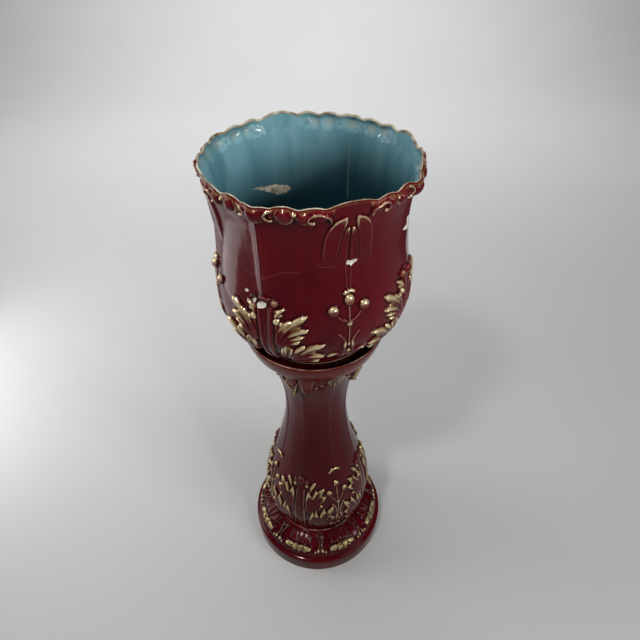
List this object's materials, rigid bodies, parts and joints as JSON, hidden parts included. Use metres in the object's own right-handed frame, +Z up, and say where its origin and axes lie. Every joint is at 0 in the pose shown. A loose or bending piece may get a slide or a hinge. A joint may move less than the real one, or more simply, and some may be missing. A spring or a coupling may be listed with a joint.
{
  "type": "jardiniere on stand",
  "caption": "Glazed earthenware jardiniere with a wavy rim and corner ribs, standing in the shallow dish of a waisted pedestal with a round foot.",
  "frame": {"origin": "on the vertical axis, on the floor under the pedestal's foot ring", "axes": "+Z up along the axis of the pedestal and jardiniere, -Y out of the middle of one of the jardiniere's four equal sides, +X to its right as seen from the front"},
  "size_m": [0.308, 0.308, 0.9565],
  "materials": {
    "pedestal_glaze": "deep burgundy glaze over moulded relief, ochre touches on the raised leaves, high gloss",
    "jardiniere_glaze": "deep burgundy glaze outside with ochre touches on the relief, cream lip, blue-green glaze inside, high gloss"
  },
  "bodies": {
    "pedestal": {"pedestal": "pedestal_glaze"},
    "jardiniere": {"jardiniere": "jardiniere_glaze"}
  },
  "joints": [
    {"name": "jardiniere_lift", "type": "slide", "parent": "pedestal", "child": "jardiniere", "axis": [0, 0, 1], "range_m": [0, 0.15]}
  ]
}
